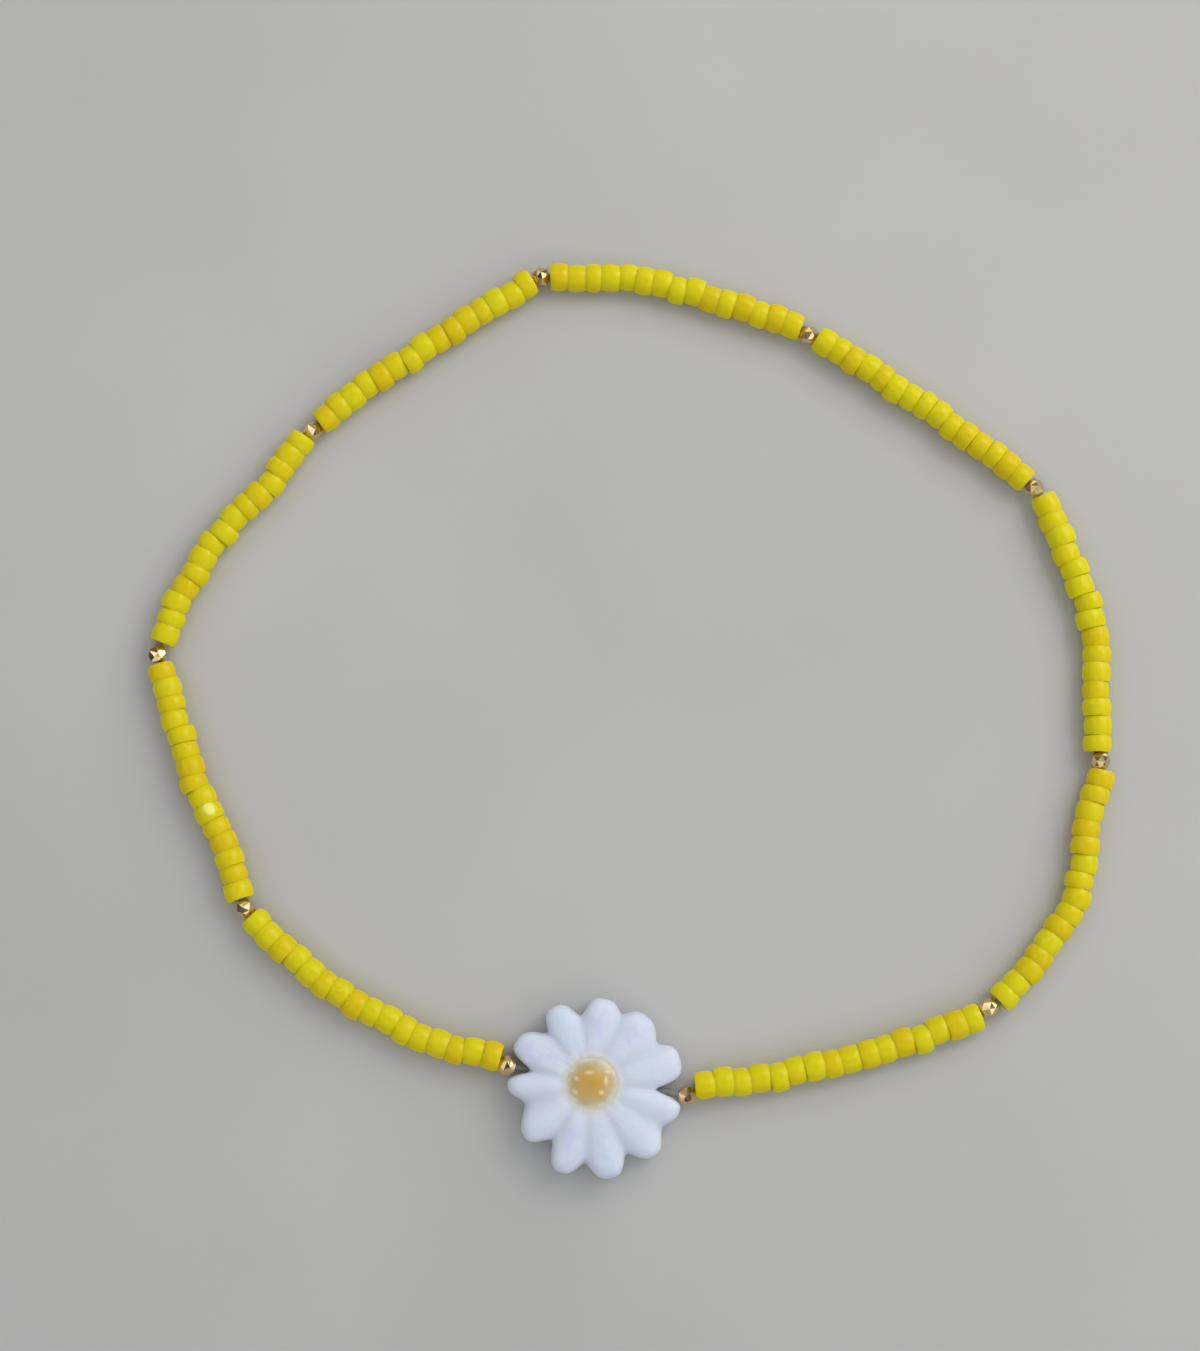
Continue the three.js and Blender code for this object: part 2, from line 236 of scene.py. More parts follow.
# %% [markdown]
# ## Helpers for meshes and materials
#
# A few things happen again and again, and each is one small function: a row of rings becomes a
# closed skin, points and faces become a named object, and a piece is placed on the thread with
# its own X axis along it. The skin is the workhorse: beads, petals and the dome are all rings of
# points, joined ring to ring. Where the last ring joins the first again, the skin is a tube with
# a hole through it, which is what a bead is. Where both end rings get a flat lid instead, it is
# closed. Modifiers could build these shapes too, but points that are worked out in code can carry
# colours and other numbers of their own.

# %% Helpers for meshes
def skin(rings):
    """Faces that join each ring of points to the next, and the last to the first again."""
    sides = len(rings[0])
    faces = []
    for row in range(len(rings)):
        below = row * sides
        above = ((row + 1) % len(rings)) * sides
        for side in range(sides):
            turn = (side + 1) % sides
            faces.append((below + side, below + turn, above + turn, above + side))
    return faces


def closed_skin(rings):
    """Faces that join each ring to the next, with a flat lid on the first and on the last."""
    sides = len(rings[0])
    last = sides * (len(rings) - 1)
    lids = [tuple(reversed(range(sides))), tuple(range(last, last + sides))]
    return skin(rings)[:-sides] + lids


def add_piece(name, points, faces, material, smooth=True):
    """A named object from points and faces, with one material."""
    mesh = bpy.data.meshes.new(name)
    mesh.from_pydata([tuple(point) for point in points], [], faces)
    mesh.polygons.foreach_set("use_smooth", [smooth] * len(faces))
    mesh.materials.append(material)
    piece = bpy.data.objects.new(name, mesh)
    bpy.context.scene.collection.objects.link(piece)
    return piece


def triangle_count(piece):
    return sum(len(polygon.vertices) - 2 for polygon in piece.data.polygons)


def sideways(along):
    """The level direction at the left of another."""
    return Vector((-along.y, along.x, 0))


def thread_frame(centre, along):
    """A frame on the thread: X along it, Y level and Z up."""
    axes = Matrix((along, sideways(along), Vector((0, 0, 1)))).transposed().to_4x4()
    return Matrix.Translation(centre) @ axes


print("mesh helpers ready")

# %% [markdown]
# Every material here is the same shader with other settings and a few noises, so the helpers set
# sockets by name, add a node, join nodes, and make a colour ramp. A ramp turns a number into a
# colour: it is the simplest way to let one pattern run through several tones.

# %% Helpers for materials
NOISE_RANGE = (0.3, 0.7)  # nearly all values of a noise lie in it


def new_material(name, **settings):
    """A material whose shader sockets are set by name, such as Roughness=0.3."""
    material = bpy.data.materials.new(name)
    material.use_nodes = True
    shader = material.node_tree.nodes["Principled BSDF"]
    for socket, value in settings.items():
        shader.inputs[socket.replace("_", " ")].default_value = value
    return material, shader


def add_node(owner, kind, **settings):
    """A node such as TexNoise in a material or world. Names set its sockets or properties."""
    node = owner.node_tree.nodes.new("ShaderNode" + kind)
    for name, value in settings.items():
        if name in node.inputs:
            node.inputs[name].default_value = value
        else:
            setattr(node, name, value)
    return node


def set_range(node, values, results):
    """Sets what a Map Range node takes in and gives out."""
    for socket, value in zip(("From Min", "From Max", "To Min", "To Max"), (*values, *results)):
        node.inputs[socket].default_value = value


def connect(owner, *pairs):
    """Joins outputs to sockets, pair by pair."""
    for output, socket in pairs:
        owner.node_tree.links.new(output, socket)


def ramp(owner, factor, stops):
    """A colour ramp: stops are (place, (red, green, blue)) from low to high."""
    node = add_node(owner, "ValToRGB")
    elements = node.color_ramp.elements
    while len(elements) < len(stops):
        elements.new(1.0)
    for element, (place, colour) in zip(elements, stops):
        element.position = place
        element.color = (*colour, 1)
    connect(owner, (factor, node.inputs["Fac"]))
    return node.outputs["Color"]


print("material helpers ready")

# %% [markdown]
# ## Yellow glass
#
# The small beads are opaque glass: the colour goes right through, and only the skin of the glass
# shines. Opaque glass still lets light in a little way, which softens its shadows, so the shader
# gets a share of subsurface light. It stays a small share, because light that wanders out through
# the end of a bead is lost between two beads, and the grooves would turn too dark. No two beads
# have quite the same colour, because they come from different rods of glass. Two or three
# separate materials would give only two or three shades. So each bead carries a number of its
# own, called tint, as an attribute of its points, and a colour ramp turns it into a lemon or a
# warmer yellow. Fine noise adds the clouding inside the glass, and a second noise makes the skin
# uneven, so that the highlight breaks up instead of lying on the bead as a clean stripe.

# %% Make the yellow glass
DEEP_YELLOW = (0.765, 0.54, 0.001)
WARM_YELLOW = (0.775, 0.62, 0.0015)
LEMON_YELLOW = (0.775, 0.685, 0.003)
# the pale at the top of the ramp is a painted glint, shown near one bead's glint
PAINTED_GLINT_YELLOW = (0.98, 0.95, 0.24)
GLASS_CLOUDING = 0.22


def yellow_glass():
    material, shader = new_material(
        "yellow_glass",
        Roughness=0.22,
        Specular_IOR_Level=0.2,
        Subsurface_Weight=0.25,
        Subsurface_Radius=(1.0, 0.9, 0.15),
        Subsurface_Scale=0.4 * MM,
    )
    place = add_node(material, "TexCoord").outputs["Object"]
    tint = add_node(material, "Attribute", attribute_name="tint").outputs["Fac"]
    clouds = add_node(material, "TexNoise", Scale=1400, Detail=3)
    shift = add_node(material, "Math", operation="MULTIPLY_ADD")
    shift.inputs[1].default_value = GLASS_CLOUDING
    skin_noise = add_node(material, "TexNoise", Scale=3200, Detail=2)
    bump = add_node(material, "Bump", Strength=0.4, Distance=0.03 * MM)
    connect(
        material,
        (place, clouds.inputs["Vector"]),
        (clouds.outputs["Fac"], shift.inputs[0]),
        (tint, shift.inputs[2]),
        (place, skin_noise.inputs["Vector"]),
        (skin_noise.outputs["Fac"], bump.inputs["Height"]),
        (bump.outputs["Normal"], shader.inputs["Normal"]),
    )
    stops = [(0.0, DEEP_YELLOW), (0.35, WARM_YELLOW), (0.75, LEMON_YELLOW), (1.0, PAINTED_GLINT_YELLOW)]
    colour = ramp(material, shift.outputs["Value"], stops)
    connect(material, (colour, shader.inputs["Base Color"]))
    return material


glass = yellow_glass()
print("material:", glass.name)

# %% [markdown]
# ## The seed beads
#
# A seed bead is a slice of a drawn glass tube that was tumbled in heat until its cut ends went
# round. An array modifier would repeat one perfect bead, but these are all a little different. So
# a loop makes each from its own length, width and lean, and adds its points to one mesh for each
# piece of the solid model. First comes the room that each bead has on the thread. The spacers at
# both ends of a stretch take theirs, and the beads share the rest, some longer and some shorter.

# %% Share the thread out between the beads
SPACER_ROOM = 1.12 * MM
SPACER_END_RADIUS = 0.5 * MM
BEAD_GAP = 0.01 * MM
LENGTH_SPREAD = 0.1
UNEVEN_STEP = 2.4


def uneven(bead, phase):
    """A steady wave that looks irregular from bead to bead."""
    return math.sin(bead * UNEVEN_STEP + phase)


def spacer_direction(index):
    """The direction of the thread where it passes through a spacer."""
    after = walks[index % len(walks)]
    before = walks[index % len(walks) - 1]
    meeting = before.level_direction(before.length) + after.level_direction(0)
    return meeting.normalized()


def stand_off(direction, spacer, bow):
    """The room that a spacer takes, with more where the beads meet it askew."""
    bend = direction.angle(spacer)
    return SPACER_ROOM / 2 + BEAD_GAP + (SPACER_END_RADIUS + abs(bow) * MM) * math.tan(bend)


def bead_spans(index):
    """Where each bead starts and ends along its stretch."""
    count, bows = STRETCHES[index]
    walk = walks[index]
    first = stand_off(walk.level_direction(0), spacer_direction(index), bows[0])
    last = stand_off(walk.level_direction(walk.length), spacer_direction(index + 1), bows[-1])
    shares = [1 + LENGTH_SPREAD * uneven(bead, index) for bead in range(count)]
    length_per_share = (walk.length - first - last) / sum(shares)
    spans = []
    start = first
    for share in shares:
        spans.append((start, start + share * length_per_share))
        start = spans[-1][1]
    return spans


print("first bead of the first stretch:", [round(mark / MM, 2) for mark in bead_spans(0)[0]])

# %% [markdown]
# The outside of a bead bulges like a ring doughnut's and ends in small flat faces, where it leans
# on its neighbours, so the grooves between beads are open and shallow. A power of the distance
# from the middle gives that bulge: 2 is close to a circle's arc, and more keeps the middle
# flatter. The hole widens a little at each end, where the heat drew the glass back. The profile
# is spun round the thread one point at a time, because a real bead is slightly oval and its ends
# aren't quite parallel, which a screw modifier couldn't give.

# %% Spin one bead
SEED_SCALLOP = 0.14 * MM
SEED_BULGE = 2.4
SEED_WAIST = 0.72 * MM
SEED_BORE_RADIUS = 0.42 * MM
SEED_BORE_REACH = 0.9
SEED_OVAL = (0.004, 0.016)
SEED_SLANT = (0, 0.06)
OUTSIDE_STEPS = 16
SEED_SIDES = 34


def bead_profile(radius):
    """(share of half the length, radius): over the outside, then back through the hole."""
    profile = []
    for step in range(OUTSIDE_STEPS + 1):
        share = -math.cos(step / OUTSIDE_STEPS * math.pi)
        profile.append((share, radius - SEED_SCALLOP * abs(share) ** SEED_BULGE))
    profile += [(1, SEED_WAIST), (SEED_BORE_REACH, SEED_BORE_RADIUS)]
    return profile + [(-SEED_BORE_REACH, SEED_BORE_RADIUS), (-1, SEED_WAIST)]


def bead_rings(length, radius, chance):
    """Rings of points of one bead, along X, with the small faults of a real one."""
    oval, oval_turn = chance.uniform(*SEED_OVAL), chance.uniform(0, math.tau)
    slant, slant_turn = chance.uniform(*SEED_SLANT), chance.uniform(0, math.tau)
    rings = []
    for share, reach in bead_profile(radius):
        ring = []
        for side in range(SEED_SIDES):
            turn = side / SEED_SIDES * math.tau
            out = reach * (1 + oval * math.cos(2 * turn + oval_turn))
            along = share * length / 2 * (1 - slant * (1 + math.cos(turn + slant_turn)) / 2)
            ring.append(Vector((along, out * math.cos(turn), out * math.sin(turn))))
        rings.append(ring)
    return rings


trial_start, trial_end = bead_spans(0)[0]
trial_bead = bead_rings(trial_end - trial_start, SEED_RADIUS, random.Random(0))
print("points in one bead:", len(trial_bead) * len(trial_bead[0]))

# %% [markdown]
# A bead's hole is wider than the thread, so the bead can lean and hang a little to one side. That
# play is what makes a string of beads look threaded and not printed. A seeded random number gives
# it, so that each run of this lesson lays the same bracelet.

# %% Lay one bead on the thread
BEAD_LEAN = math.radians(1.5)
BEAD_SEED = 11
glass_chance = random.Random(BEAD_SEED)


def bead_frame(index, span, radius, side_step):
    """Where a bead lies: X along the thread, with a small lean, and resting on the table."""
    middle = (span[0] + span[1]) / 2
    along = walks[index].level_direction(middle)
    centre = walks[index].at(middle) + sideways(along) * side_step
    centre.z = max(centre.z, radius)
    lean = Matrix.Rotation(glass_chance.uniform(-BEAD_LEAN, BEAD_LEAN), 4, "Z")
    return thread_frame(centre, along) @ lean


print("a bead leans up to", round(math.degrees(BEAD_LEAN), 1), "degrees")

# %% [markdown]
# About a third of the beads are a warmer yellow than the rest. One bead carries a painted glint on
# top: a pale patch that stands for light mirrored off a flat spot of its glass. The glint has no
# shape of its own, and a separate material for one bead would be a waste: its points near the
# glint get a higher tint, and the same colour ramp turns that pale.

# %% Tint the beads and paint a glint on one
WARM_SHARE = 0.35
WARM_TINTS = (0.0, 0.25)
LEMON_TINTS = (0.3, 0.62)
# a painted glint: a pale patch for light mirrored off one bead
GLINT_BEAD = (7, 5)  # the stretch, and the bead on it
GLINT_PLACE = Vector((0.22, -0.26, 0.98)) * MM
GLINT_SIZE = Vector((0.48, 0.34, 0.5)) * MM
GLINT_EDGES = (0.5, 1.8)


def painted_glint(point):
    """1 in the middle of the painted glint, where light is mirrored, and 0 away from it."""
    away = point - GLINT_PLACE
    shares = Vector([distance / size for distance, size in zip(away, GLINT_SIZE)])
    return 1 - smoothstep(shares.length, *GLINT_EDGES)


def bead_tints(rings, glinting):
    """A number for each point: 0 is a warm yellow, 0.6 a lemon one, and 1 the painted glint's pale.
    """
    warm = glass_chance.random() < WARM_SHARE
    tint = glass_chance.uniform(*(WARM_TINTS if warm else LEMON_TINTS))
    points = [point for ring in rings for point in ring]
    if not glinting:
        return [tint] * len(points)
    # points near the glint are painted paler, as a highlight
    return [tint + (1 - tint) * painted_glint(point) for point in points]


print("warm beads:", round(WARM_SHARE * 100), "in a hundred")

# %% [markdown]
# Now the beads are threaded, piece by piece. Each stretch is two pieces in the solid model, so it
# is two meshes here, and each mesh takes the place of one solid. A bead is made a trace longer
# than its share of the thread, so that no light comes through between two beads that touch. A
# bead that would sink into the table is lifted until it rests on it.

# %% Thread the beads
BEAD_PRESS = 0.03 * MM
SIDE_PLAY = 0.15 * MM
WIDTH_SPREAD = 0.035
WIDTH_PHASE = 2  # so that a long bead isn't always a wide one


def add_beads(name, index, beads, spans):
    """One mesh that holds the beads of one piece of the solid model."""
    points, faces, tints = [], [], []
    for bead in beads:
        length = spans[bead][1] - spans[bead][0] + BEAD_PRESS
        radius = SEED_RADIUS * (1 + WIDTH_SPREAD * uneven(bead, index + WIDTH_PHASE))
        rings = bead_rings(length, radius, glass_chance)
        place = bead_frame(index, spans[bead], radius, glass_chance.uniform(-SIDE_PLAY, SIDE_PLAY))
        own_points = [place @ point for ring in rings for point in ring]
        lift = max(0, -min(point.z for point in own_points))
        faces += [tuple(corner + len(points) for corner in face) for face in skin(rings)]
        points += [point + Vector((0, 0, lift)) for point in own_points]
        tints += bead_tints(rings, (index, bead) == GLINT_BEAD)
    piece = add_piece(name, points, faces, glass)
    attribute = piece.data.attributes.new("tint", "FLOAT", "POINT")
    attribute.data.foreach_set("value", tints)
    return piece


bead_pieces = []
run = 0
for index, (count, _) in enumerate(STRETCHES):
    if count == 0:
        continue
    run += 1
    spans = bead_spans(index)
    half = math.ceil(count / 2)
    for letter, beads in (("a", range(half)), ("b", range(half, count))):
        piece = add_beads(f"seed_beads_{run}{letter}", index, beads, spans)
        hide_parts(f"seed_run_{run}{letter}")
        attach(piece, "root")
        bead_pieces.append(piece)
print("bead pieces:", len(bead_pieces), "triangles:", sum(map(triangle_count, bead_pieces)))

# %% [markdown]
# ## Gold plate
#
# The spacers are brass with a thin gold plate, a little dulled by wear. Metal shows nothing but
# what it mirrors, so most of its look comes from its facets and a room with light and dark sides.
# The shader only needs the colour of the plate, a good polish, and slight wear that makes some
# places duller than others.

# %% Make the gold plate
PLATE_COLOUR = (0.77, 0.57, 0.29, 1)
PLATE_ROUGHNESS = (0.06, 0.18)


def gold_plate():
    material, shader = new_material("gold_plate", Metallic=1.0, Base_Color=PLATE_COLOUR)
    place = add_node(material, "TexCoord").outputs["Object"]
    wear = add_node(material, "TexNoise", Scale=2500, Detail=3)
    dulling = add_node(material, "MapRange")
    set_range(dulling, NOISE_RANGE, PLATE_ROUGHNESS)
    connect(
        material,
        (place, wear.inputs["Vector"]),
        (wear.outputs["Fac"], dulling.inputs["Value"]),
        (dulling.outputs["Result"], shader.inputs["Roughness"]),
    )
    return material


gold = gold_plate()
print("material:", gold.name)

# %% [markdown]
# ## The spacers
#
# A spacer of this kind is a tiny barrel whose skin was cut with a diamond into flat facets. A
# smooth barrel with a bump would look cast. Belts of points, each turned half a step from the one
# before, give triangular facets when they are joined, and small random steps keep the facets from
# leaning all the same way, as no cutter holds such a tiny bead quite true. The barrel is hollow:
# the last belts go down into the hole for the thread. Its two ends sit a little way inside the
# mouths of the holes beside it.

# %% Cut the belts of one spacer
SPACER_END = 0.6
SPACER_BELTS = [
    # place along the thread, radius, both in mm
    (-SPACER_END, 0.5),
    (-0.26, 0.69),
    (0.12, 0.72),
    (SPACER_END, 0.5),
]
SPACER_BORE = [(0.58, 0.32), (0.4, 0.28), (-0.4, 0.28), (-0.58, 0.32)]
SPACER_SIDES = 7
CUT_WANDER = 0.09
TURN_WANDER = 2  # a cut strays so many times further round the barrel than along it
CUTTING_SEED = 5
cutting_chance = random.Random(CUTTING_SEED)


def belt_ring(place, radius, turn, matrix, wander=0):
    """One belt of points. The two end belts don't stray along the thread."""
    ring = []
    for side in range(SPACER_SIDES):
        stray = cutting_chance.uniform(-TURN_WANDER, TURN_WANDER) * wander
        angle = (side + turn + stray) / SPACER_SIDES * math.tau
        reach = radius - cutting_chance.uniform(0, 1) * wander
        along = place + cutting_chance.uniform(-1, 1) * wander * (abs(place) < SPACER_END)
        ring.append(matrix @ (Vector((along, reach * math.cos(angle), reach * math.sin(angle))) * MM))
    return ring


print("belts round a spacer:", len(SPACER_BELTS))

# %% [markdown]
# The belts are joined by triangles on the outside and by plain four-sided faces in the hole. They
# are shaded flat, because the sparkle comes from each facet mirroring one part of the room.

# %% Join the facets and thread the spacers
def facet_faces(rings):
    """Triangles between belts that are turned half a step from each other."""
    sides = SPACER_SIDES
    faces = []
    for row in range(len(rings)):
        below, above = row * sides, ((row + 1) % len(rings)) * sides
        turned = row < len(SPACER_BELTS) - 1
        for side in range(sides):
            turn = (side + 1) % sides
            if turned:
                faces.append((below + side, below + turn, above + side))
                faces.append((below + turn, above + turn, above + side))
            else:
                faces.append((below + side, below + turn, above + turn, above + side))
    return faces


def add_spacer(index):
    """One cut spacer in its place on the thread."""
    roll = Matrix.Rotation(cutting_chance.uniform(0, math.tau), 4, "X")
    matrix = thread_frame(stations[index], spacer_direction(index)) @ roll
    last_turn = (len(SPACER_BELTS) - 1) / 2
    rings = [belt_ring(*belt, row / 2, matrix, CUT_WANDER) for row, belt in enumerate(SPACER_BELTS)]
    rings += [belt_ring(*belt, last_turn, matrix) for belt in SPACER_BORE]
    points = [point for ring in rings for point in ring]
    piece = add_piece(f"cut_{SPACERS[index]}", points, facet_faces(rings), gold, smooth=False)
    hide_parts(SPACERS[index])
    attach(piece, "root")
    return piece


spacer_pieces = [add_spacer(index) for index in range(len(SPACERS))]
print("spacers:", len(spacer_pieces), "triangles each:", triangle_count(spacer_pieces[0]))

# %% [markdown]
# ## White shell
#
# The daisy is mother-of-pearl, ground and polished. Shell is built up from thin clear layers, so
# it is bluish white with faint patches of lavender, ice blue and pink that follow the layers, it
# glows a little from within, and its polish is soft. The patches differ from petal to petal, so
# one noise over the whole daisy would not do. Each point of the mesh carries its own nacre colour
# as an attribute, worked out below from its place on its petal, and in the grooves that colour is
# a painted shade. Noise breaks this colour into patches along the ridges. The fourth number of the
# attribute keeps it whole round the eye and in the grooves: the material takes that number or the
# noise, whichever is more.
#
# The grinding left fine streaks along each petal. A second attribute says where a point is across
# and along its petal, so that a noise that is much finer across than along gives those streaks as
# bump.

# %% Make the white shell
SHELL_WHITE = (0.755, 0.80, 0.91, 1)
PATCH_EDGES = (0.4, 0.6)


def white_shell():
    material, shader = new_material(
        "white_shell",
        Roughness=0.5,
        Specular_IOR_Level=0.3,
        Subsurface_Weight=0.6,
        Subsurface_Radius=(1.0, 1.0, 1.0),
        Subsurface_Scale=0.6 * MM,
    )
    place = add_node(material, "TexCoord").outputs["Object"]
    nacre_and_shade = add_node(material, "Attribute", attribute_name="nacre_and_shade")
    layers = add_node(material, "TexNoise", Scale=800, Detail=3, Distortion=0.8)
    patches = add_node(material, "MapRange")
    set_range(patches, PATCH_EDGES, (0, 1))
    unbroken = add_node(material, "Math", operation="MAXIMUM")
    patchy = add_node(material, "Mix", data_type="RGBA")
    patchy.inputs["A"].default_value = SHELL_WHITE
    grain = add_node(material, "Attribute", attribute_name="grain").outputs["Vector"]
    streaks = add_node(material, "TexNoise", Scale=1, Detail=2)
    bump = add_node(material, "Bump", Strength=0.6, Distance=0.11 * MM)
    connect(
        material,
        (place, layers.inputs["Vector"]),
        (layers.outputs["Fac"], patches.inputs["Value"]),
        (patches.outputs["Result"], unbroken.inputs[0]),
        (nacre_and_shade.outputs["Alpha"], unbroken.inputs[1]),
        (unbroken.outputs["Value"], patchy.inputs["Factor"]),
        (nacre_and_shade.outputs["Color"], patchy.inputs["B"]),
        (patchy.outputs["Result"], shader.inputs["Base Color"]),
        (grain, streaks.inputs["Vector"]),
        (streaks.outputs["Fac"], bump.inputs["Height"]),
        (bump.outputs["Normal"], shader.inputs["Normal"]),
    )
    return material


shell = white_shell()
print("material:", shell.name)

# %% [markdown]
# ## The petals
#
# The daisy is one carving. Eleven petals run out from the eye, each a long round ridge with a
# shallow groove on either side. It could be sculpted, but a carving like this has rules: along a
# petal the ridge stays level and falls near the tip, across it the surface rolls down into the
# groove, and the outline swings between the tip and the notch. So the surface is a formula over
# two numbers, the direction round the daisy and the share of the way out. The table says where
# each petal points, because they were cut by hand and none is like the next.

# %% List the petals
PETALS = [
    # the directions of its ridge and next groove in degrees, its reach and the next notch in mm,
    # and how full its round end is before and after the ridge
    {"ridge": 16, "reach": 6.35, "groove": 30.5, "notch": 5.3, "before": 4.5, "after": 3.2},
    {"ridge": 50, "reach": 5.95, "groove": 66, "notch": 5.15, "before": 3, "after": 3},
    {"ridge": 84, "reach": 5.82, "groove": 99.5, "notch": 4.7, "before": 4, "after": 2.6},
    {"ridge": 117, "reach": 5.85, "groove": 132, "notch": 4.65, "before": 2.6, "after": 3.9},
    {"ridge": 154, "reach": 6.02, "groove": 169.5, "notch": 4.45, "before": 3, "after": 2.4},
    {"ridge": 182, "reach": 5.9, "groove": 197, "notch": 4.95, "before": 2.9, "after": 2.3},
    {"ridge": 219, "reach": 6.03, "groove": 235, "notch": 4.9, "before": 2.1, "after": 2.4},
    {"ridge": 250, "reach": 6.57, "groove": 265, "notch": 5.6, "before": 3, "after": 2.8},
    {"ridge": 282, "reach": 6.7, "groove": 296, "notch": 5.5, "before": 3.5, "after": 3},
    {"ridge": 313, "reach": 6.68, "groove": 327.5, "notch": 5.85, "before": 2.9, "after": 2.1},
    {"ridge": 342, "reach": 6.42, "groove": 354, "notch": 4.55, "before": 2.5, "after": 3},
]
NOTCH_ROUNDNESS = 2.2
STEPS_PER_PETAL = 22


def mix(low, high, share):
    """The value at a share of the way from low to high."""
    return low + (high - low) * share


def directions_round_daisy():
    """(angle, offset from the ridge, outline, petal) of each column, from groove to groove."""
    directions = []
    for number, petal in enumerate(PETALS):
        neighbour = PETALS[number - 1]
        for step in range(STEPS_PER_PETAL):
            across = 2 * step / STEPS_PER_PETAL - 1
            offset = abs(across)
            if across < 0:
                groove = neighbour["groove"] - (360 if number == 0 else 0)
                notch, fullness = neighbour["notch"], petal["before"]
            else:
                groove, notch, fullness = petal["groove"], petal["notch"], petal["after"]
            angle = math.radians(mix(petal["ridge"], groove, offset))
            fall = 1 - (1 - offset**fullness) ** NOTCH_ROUNDNESS
            outline = mix(petal["reach"], notch, fall)
            directions.append((angle, offset, outline, number))
    return directions


print("directions round the daisy:", len(directions_round_daisy()))

# %% [markdown]
# In each direction the carving is one profile: flat under the petal, round at the edge, back over
# the top, and down into the seat that was ground for the dome. The top changes across the petal.
# A cosine takes it from the ridge into the groove, because it is round at both, as a ground and
# polished shell is. A straight slope would leave a sharp crease. All lengths here are in mm.

# %% Carve the surface of the petals
RIDGE_HEIGHT = 2.85
RIDGE_FALL = 0.35
RIDGE_FALL_POWER = 4  # more keeps the ridge level for longer
GROOVE_DEPTH = (0.02, 0.18)  # towards the middle of the daisy, and in the notch
GROOVE_DEPTH_POWER = 2
EDGE_HEIGHT = (1.4, 1.1)  # at the tip, and in the notch
SIDE_HEIGHT = (1.2, 1.0)  # at the tip, and in the notch
EDGE_SHARPNESS = 30  # more makes the edge tighter
TOP_STEPS = [0.04, 0.11, 0.2, 0.31, 0.43, 0.55, 0.66, 0.76, 0.84, 0.9, 0.94, 0.97, 0.985, 0.995]
EYE_RADIUS = 2.15
EYE_HEIGHT = 2.75
EYE_BLEND = 0.5
EYE_LIP = [(-0.15, 0.02), (-0.3, 0.02), (-0.41, 0.02), (-0.43, 0.02)]  # outwards, upwards
SEAT_RADIUS = 1.72
SEAT_FLOOR = 1.95
SEAT_MIDDLE = 0.6
BACK_MIDDLE = 1.5
BACK_EDGE = [(0.7, 0), (0.94, 0), (0.975, 0.1), (0.993, 0.3), (1, 0.6)]  # share out, height


def across_petal(offset):
    """0 on the ridge and 1 in the groove, round on both."""
    return (1 - math.cos(offset * math.pi)) / 2


def petal_height(share, offset):
    """How high the carved top lies, at a share of the way out to the outline."""
    ridge = RIDGE_HEIGHT - RIDGE_FALL * share**RIDGE_FALL_POWER
    groove = mix(*GROOVE_DEPTH, share**GROOVE_DEPTH_POWER) * across_petal(offset)
    edge = mix(*EDGE_HEIGHT, offset)
    rounding = math.sqrt(1 - share**EDGE_SHARPNESS)
    return edge + (ridge - groove - edge) * rounding


def petal_profile(offset, outline):
    """(radius, height) from the middle of the back, round the edge and in over the top."""
    profile = [(BACK_MIDDLE, 0)]
    profile += [(share * outline, height) for share, height in BACK_EDGE]
    profile.append((outline, mix(*SIDE_HEIGHT, offset)))
    for step in reversed(TOP_STEPS):
        radius = mix(EYE_RADIUS, outline, step)
        away = smoothstep(radius, EYE_RADIUS, EYE_RADIUS + EYE_BLEND)
        profile.append((radius, mix(EYE_HEIGHT, petal_height(radius / outline, offset), away)))
    profile.append((EYE_RADIUS, EYE_HEIGHT))
    profile += [(EYE_RADIUS + outwards, EYE_HEIGHT + upwards) for outwards, upwards in EYE_LIP]
    profile += [(SEAT_RADIUS, SEAT_FLOOR), (SEAT_MIDDLE, SEAT_FLOOR)]
    return profile


print("a ridge starts", petal_height(0, 0), "mm high and ends", EDGE_HEIGHT[0], "mm high")

# %% [markdown]
# The colour of a point follows from its place as well. Cream from the honey dome shows round the
# eye, each petal has the tint of the layer that its ridge was cut from, and the grooves get a
# painted shade, a little greyer, for the shade that gathers in them. A blush lies only near a
# petal's end. The tints are faint, because a stronger one would look painted.

# %% Mix the colours of the nacre
LAVENDER = (0.70, 0.715, 0.905)
ICE_BLUE = (0.67, 0.77, 0.90)
BLUSH = (0.755, 0.725, 0.87)
SNOW = (0.745, 0.79, 0.885)
# a painted shade: the grooves are darkened to it, for the shade that gathers there
PAINTED_GROOVE_SHADE = (0.685, 0.73, 0.835)
CREAM = (0.84, 0.755, 0.59)
CREAM_REACH = (1.8, 2.4)
CREAM_SHARE = 0.7
NACRE_START = (2.2, 3.4)
BLUSH_START = (4.6, 6.2)
PETAL_NACRE = [BLUSH, LAVENDER, LAVENDER, ICE_BLUE, LAVENDER, SNOW]
PETAL_NACRE += [SNOW, LAVENDER, ICE_BLUE, SNOW, BLUSH]


def nacre_and_painted_shade(radius, offset, petal):
    """Cream by the eye, the petal's own colour along its ridge, and painted shade in the grooves.

    The fourth number says how far the cream or the painted groove shade has the place to itself,
    unbroken by the noise.
    """
    own = Vector(PETAL_NACRE[petal])
    reach = BLUSH_START if PETAL_NACRE[petal] == BLUSH else NACRE_START
    in_groove = across_petal(offset)
    colour = Vector(SNOW).lerp(own, smoothstep(radius, *reach) * (1 - in_groove))
    # painted shade in the grooves
    colour = colour.lerp(Vector(PAINTED_GROOVE_SHADE), in_groove)
    cream = 1 - smoothstep(radius, *CREAM_REACH)
    return (*colour.lerp(Vector(CREAM), cream * CREAM_SHARE), max(cream, in_groove))


